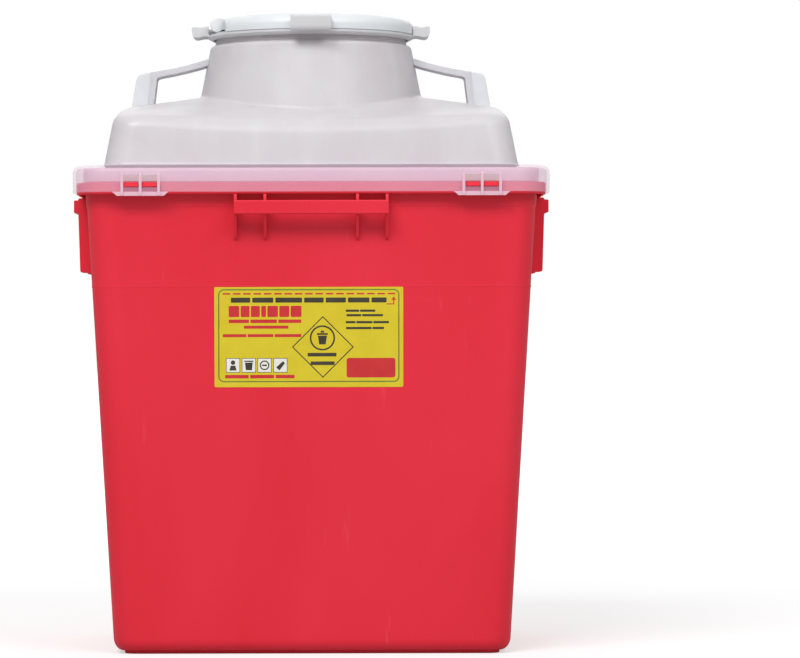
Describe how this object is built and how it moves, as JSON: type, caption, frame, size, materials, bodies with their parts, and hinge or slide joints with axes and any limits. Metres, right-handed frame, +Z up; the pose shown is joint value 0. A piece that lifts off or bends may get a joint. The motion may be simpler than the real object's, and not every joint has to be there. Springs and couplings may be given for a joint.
{
  "type": "sharps container",
  "caption": "Tall rectangular sharps tub with side grips, a clip-on domed lid with carrying handles, a wide round neck, a turning closure ring and a hinged flip cap.",
  "frame": {"origin": "middle of the footprint, on the floor", "axes": "+Z up, the label's side faces -Y, the flip cap's hinge is at -X"},
  "size_m": [0.3222, 0.268, 0.43],
  "materials": {
    "tub_plastic": "satin moulded red polypropylene",
    "lid_plastic": "satin translucent natural polypropylene",
    "ring_plastic": "satin translucent natural polypropylene",
    "cap_plastic": "satin bluish-white polypropylene",
    "label_film": "printed vinyl film"
  },
  "bodies": {
    "tub": {"tub_shell": "tub_plastic", "foot_ring": "tub_plastic", "tub_rim": "tub_plastic", "rim_hooks_front": "tub_plastic", "rim_hooks_rear": "tub_plastic", "front_grip_bar": "tub_plastic", "front_grip_ribs": "tub_plastic", "rear_grip_bar": "tub_plastic", "rear_grip_ribs": "tub_plastic", "left_grip_bar": "tub_plastic", "left_grip_wings": "tub_plastic", "right_grip_bar": "tub_plastic", "right_grip_wings": "tub_plastic", "label": "label_film"},
    "lid": {"lid_skirt": "lid_plastic", "snap_clips_front": "lid_plastic", "snap_clips_rear": "lid_plastic", "lid_seat_ring": "lid_plastic", "lid_plug_lip": "lid_plastic", "lid_dome": "lid_plastic", "dome_rib_left": "lid_plastic", "dome_rib_right": "lid_plastic", "neck_cone": "lid_plastic", "neck_spigot": "lid_plastic", "neck_bead": "lid_plastic", "handle_left_bar": "lid_plastic", "handle_left_post": "lid_plastic", "handle_right_bar": "lid_plastic", "handle_right_post": "lid_plastic"},
    "closure_ring": {"closure_ring": "ring_plastic", "ring_lug_left": "ring_plastic", "ring_lug_right": "ring_plastic", "ring_lug_front": "ring_plastic", "ring_lug_rear": "ring_plastic", "ring_hinge_knuckle": "ring_plastic"},
    "cap": {"flip_cap": "cap_plastic", "cap_plug_ring": "cap_plastic", "cap_knuckles": "cap_plastic", "cap_hinge_pin": "cap_plastic"}
  },
  "joints": [
    {"name": "lid_lift", "type": "slide", "parent": "tub", "child": "lid", "axis": [0, 0, 1], "range_m": [0, 0.12]},
    {"name": "ring_turn", "type": "hinge", "parent": "lid", "child": "closure_ring", "pos_m": [0, 0, 0.4165], "axis": [0, 0, 1], "range_deg": [0, 45]},
    {"name": "cap_hinge", "type": "hinge", "parent": "closure_ring", "child": "cap", "pos_m": [-0.0642, 0, 0.425], "axis": [0, -1, 0], "range_deg": [0, 120]}
  ]
}
